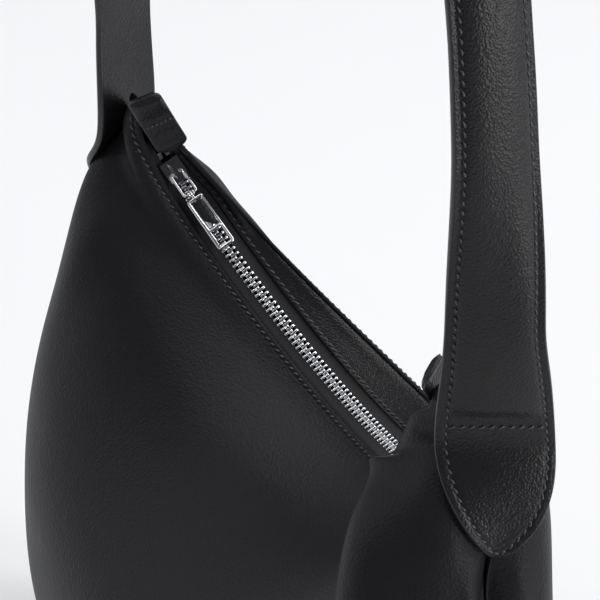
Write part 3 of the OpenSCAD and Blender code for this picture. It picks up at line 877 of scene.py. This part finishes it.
def tab_rows(side):
    """Middle layer of the end tab from its tip to its top."""
    f = tab_f[:, None]
    v = TAB_V[0] + (TAB_V[1] - TAB_V[0]) * f + 0 * WS
    narrow, shift = (1.0, 0.0) if side > 0 else (0.88, -7.0)
    half_w = tab_half(f) * narrow
    p, n = on_wall(v, WS * half_w + tab_mid(f) + shift, side)
    p = p + n * (2.4 * MM)
    # the leather is stiff, so the tab stays flatter than the wall under it, most of all at the top
    flat_way = strap_side(np.array([float(side)]))[0]
    flat = p[:, CENTRE:CENTRE + 1] + (WS * half_w * MM)[..., None] * flat_way
    gap = flat - p
    gap = gap - np.minimum((gap * n).sum(-1), 0)[..., None] * n
    p = p + gap * (1.0 - 0.6 * f)[..., None]
    basis = np.stack([np.ones_like(WS), WS, WS**2], 1)
    fit = basis @ np.linalg.pinv(basis)
    p = np.einsum("ij,rjc->ric", fit, p)
    dw, df = np.gradient(p, axis=1), np.gradient(p, axis=0)
    face = unit(np.cross(dw, df))
    n = face * np.sign((face[:, CENTRE] * n[:, CENTRE]).sum(-1))[:, None, None]
    return p, n, tab_half(tab_f) * narrow


g = np.linspace(0.9985, -0.9985, n_free)
free_side = strap_side(g)
free_mid = strap_mid(g)
run = unit(np.gradient(free_mid, axis=0))
free_out = unit(np.cross(free_side, run))
free_half = strap_half(g)
free_rows = free_mid[:, None] + (WS[None, :, None] * free_half[:, None, None] * MM) * free_side[:, None]
free_norm = np.repeat(free_out[:, None], len(WS), 1)

right_p, right_n, right_h = tab_rows(1)
left_p, left_n, left_h = tab_rows(-1)
for tab, end in ((right_p, 0), (left_p, -1)):
    near = 1 - smooth_step(free_mid[:, 2], ROOT_Z, ROOT_Z + 48 * MM)
    near = near * (np.sign(free_mid[:, 0]) == np.sign(free_mid[end, 0]))
    free_rows = free_rows + near[:, None, None] * (tab[-1] - free_rows[end])[None]
mid = np.concatenate([right_p, free_rows, left_p[::-1]])
norm = np.concatenate([right_n, free_norm, left_n[::-1]])
half = np.concatenate([right_h, free_half, left_h[::-1]])
row_z = mid[:, len(WS) // 2, 2]
row_x = mid[:, len(WS) // 2, 0]
near_root = np.exp(-(((row_z - ROOT_Z) / (22 * MM)) ** 2))
mid = blur(mid, 60, near_root)
norm = unit(blur(norm, 90, np.clip(near_root * 1.4, 0, 1)))
half = blur(half[:, None], 40, near_root)[:, 0]
CROSS_Z = ROOT_Z + 1 * MM
puff = smooth_step(row_z, CROSS_Z + 0.8 * MM, CROSS_Z + 8 * MM)
crown_w = np.maximum(0, 1 - (np.abs(WS) / 0.86) ** 2.6) ** 0.7
groove = -0.55 * np.exp(-(((np.abs(WS)[None, :] - (1 - 3.0 / half[:, None])) * half[:, None] / 0.7) ** 2))
height = PLY * (1 + 0 * puff[:, None]) + PAD * puff[:, None] * crown_w[None, :] + groove
outer = mid + norm * (height * MM)[..., None]
inner = mid - norm * (PLY * MM)
sideways = unit(mid[:, -1] - mid[:, 0])
edge_turns = np.radians([60, 25, 0, -25, -60])


def painted_edge(k, sign):
    c = (outer[:, k] + inner[:, k]) / 2
    arm = (outer[:, k] - inner[:, k]) / 2
    return np.stack([c + arm * math.sin(a) + sideways * sign * 0.55 * MM * math.cos(a) for a in edge_turns], 1)


sections = np.concatenate([outer, painted_edge(-1, 1), inner[:, ::-2], painted_edge(0, -1)[:, ::-1]], 1)
n_in = len(range(len(WS) - 1, -1, -2))
index = [0] * (len(WS) - 1) + [1] * 6 + [0] * (n_in - 1) + [1] * 6
strap = loft("strap_leather_cover", sections, [STRAP_LEATHER, PAINT], index)
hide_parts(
    "strap_cover", "strap_lining", "strap_root_left", "strap_root_right", "strap_tab_left", "strap_tab_right"
)
# the padding inside, between the cover and the lining
core = [i for i in range(len(mid)) if puff[i] > 0.12]
fw = slice(5, -5)
pad = np.maximum(PAD * puff[core, None] * crown_w[None, fw] - 0.3, 0.15)
pad_top = mid[core][:, fw] + norm[core][:, fw] * ((pad + 0.4) * MM)[..., None]
pad_low = mid[core][:, fw] - norm[core][:, fw] * (0.3 * MM)
foam = loft("strap_padding", np.concatenate([pad_top, pad_low[:, ::-2]], 1), [FOAM])
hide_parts("strap_foam")
strap_pieces = [strap, foam]

# stitch rows: both borders and round the tabs, and across where the pad ends
inset = np.maximum(half - 3.0, 0) / np.maximum(half, 1e-6)
for sign, word in ((1, "back"), (-1, "front")):
    line, up = [], []
    for i in range(len(mid)):
        if half[i] < 2.0:
            continue
        w = sign * inset[i]
        pt = np.array([np.interp(w, WS, outer[i, :, c]) for c in range(3)])
        nn = np.array([np.interp(w, WS, norm[i, :, c]) for c in range(3)])
        line.append(pt)
        up.append(nn)
    strap_pieces.append(stitches(f"strap_stitches_{word}", np.array(line), np.array(up), THREAD))
for sign, word in ((1, "right"), (-1, "left")):
    rows = [i for i in range(len(mid)) if row_x[i] * sign > 0]
    i = min(rows, key=lambda r: abs(row_z[r] - CROSS_Z))
    span = np.abs(WS) <= 0.84
    strap_pieces.append(stitches(f"strap_cross_stitches_{word}", outer[i, span], norm[i, span], THREAD))
for piece in strap_pieces:
    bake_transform(piece)

# ---- topstitching on the body ------------------------------------------------------------------------
def panel_row(name, side, v_at, u_lim, lift=0.0):
    u = np.linspace(*u_lim, 400)
    v = np.full_like(u, v_at)
    p, n = shell(u, v, side), shell_out(u, v, side)
    row = stitches(name, p + n * (lift * MM), n, THREAD)
    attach(row, "bag")


panel_row("front_edge_stitches", -1, 0.3 / SPANS, (-0.9, 0.9), -0.1)
panel_row("back_edge_stitches", 1, 0.5 / SPANS, (-0.9, 0.9), -0.1)
t = np.linspace(-74, 74, 400)
across = np.minimum(FACING_IN, back_edge(t) - 4.4) + 1.4
row = stitches("facing_stitches", on_mouth(t, across, 1.66), spoke_up(t), THREAD)
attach(row, "bag")

# ---- stage, light, camera ----------------------------------------------------------------------------
def stage_floor():
    bpy.ops.mesh.primitive_plane_add(size=30)
    floor = bpy.context.object
    floor.name = "floor"
    m, nodes, links, shader = node_material("floor")
    place = add(nodes, "ShaderNodeTexCoord")
    speck = add(nodes, "ShaderNodeTexNoise", Scale=3.0, Detail=2.0)
    links.new(place.outputs["Object"], speck.inputs["Vector"])
    tone = add(nodes, "ShaderNodeMix")
    tone.data_type = "RGBA"
    tone.inputs["A"].default_value = (0.80, 0.80, 0.805, 1)
    tone.inputs["B"].default_value = (0.815, 0.815, 0.82, 1)
    links.new(speck.outputs["Fac"], tone.inputs["Factor"])
    links.new(tone.outputs["Result"], shader.inputs["Base Color"])
    shader.inputs["Roughness"].default_value = 0.9
    shader.inputs["Specular IOR Level"].default_value = 0.1
    floor.data.materials.append(m)


def softbox(name, at, aim, size, power):
    data = bpy.data.lights.new(name, "AREA")
    data.shape = "RECTANGLE"
    data.size, data.size_y, data.energy = size[0], size[1], power
    lamp = bpy.data.objects.new(name, data)
    lamp.location = at
    lamp.rotation_mode = "QUATERNION"
    lamp.rotation_quaternion = (Vector(aim) - Vector(at)).to_track_quat("-Z", "Y")
    bpy.context.scene.collection.objects.link(lamp)


stage_floor()
world = bpy.data.worlds.new("studio")
world.use_nodes = True
world.node_tree.nodes["Background"].inputs["Color"].default_value = (0.9, 0.93, 1.0, 1)
world.node_tree.nodes["Background"].inputs["Strength"].default_value = 0.3
bpy.context.scene.world = world
softbox("top_light", (-0.6, 0.5, 2.8), (-0.2, 0, 0.2), (3.0, 3.0), 74)
softbox("key_light", (1.5, 1.9, 1.3), (0.1, 0, 0.35), (0.5, 1.8), 26)
softbox("side_light", (1.9, 1.0, 0.6), (0.15, 0, 0.35), (0.35, 1.1), 14)
softbox("fill_light", (-1.6, -1.8, 1.2), (0, 0, 0.25), (1.2, 1.6), 10)


def black_card(at, aim, size):
    """A black card that keeps stray light out of the polished metal."""
    bpy.ops.mesh.primitive_plane_add(size=size)
    card = bpy.context.object
    card.name = "black_card"
    card.location = at
    card.rotation_mode = "QUATERNION"
    card.rotation_quaternion = (Vector(aim) - Vector(at)).to_track_quat("Z", "Y")
    card.data.materials.append(TAPE)


black_card((2.5, -0.35, 1.65), (0, 0, 0.3), 1.3)
black_card((2.45, 0.23, 0.62), (0, 0, 0.3), 0.9)

AZIMUTH, ELEVATION, DISTANCE = math.radians(63.5), math.radians(29), 1.15
AIM = Vector((0, 0.006, 0.261))
camera = bpy.data.objects.new("camera", bpy.data.cameras.new("camera"))
camera.data.lens = 175
camera.data.sensor_width = 36
camera.data.clip_start, camera.data.clip_end = 0.05, 60
away = Vector((math.sin(AZIMUTH) * math.cos(ELEVATION), -math.cos(AZIMUTH) * math.cos(ELEVATION), math.sin(ELEVATION)))
camera.location = AIM + away * DISTANCE
camera.rotation_mode = "QUATERNION"
camera.rotation_quaternion = (-away).to_track_quat("-Z", "Y")
bpy.context.scene.collection.objects.link(camera)
bpy.context.scene.camera = camera
bpy.context.scene.view_settings.view_transform = "Standard"
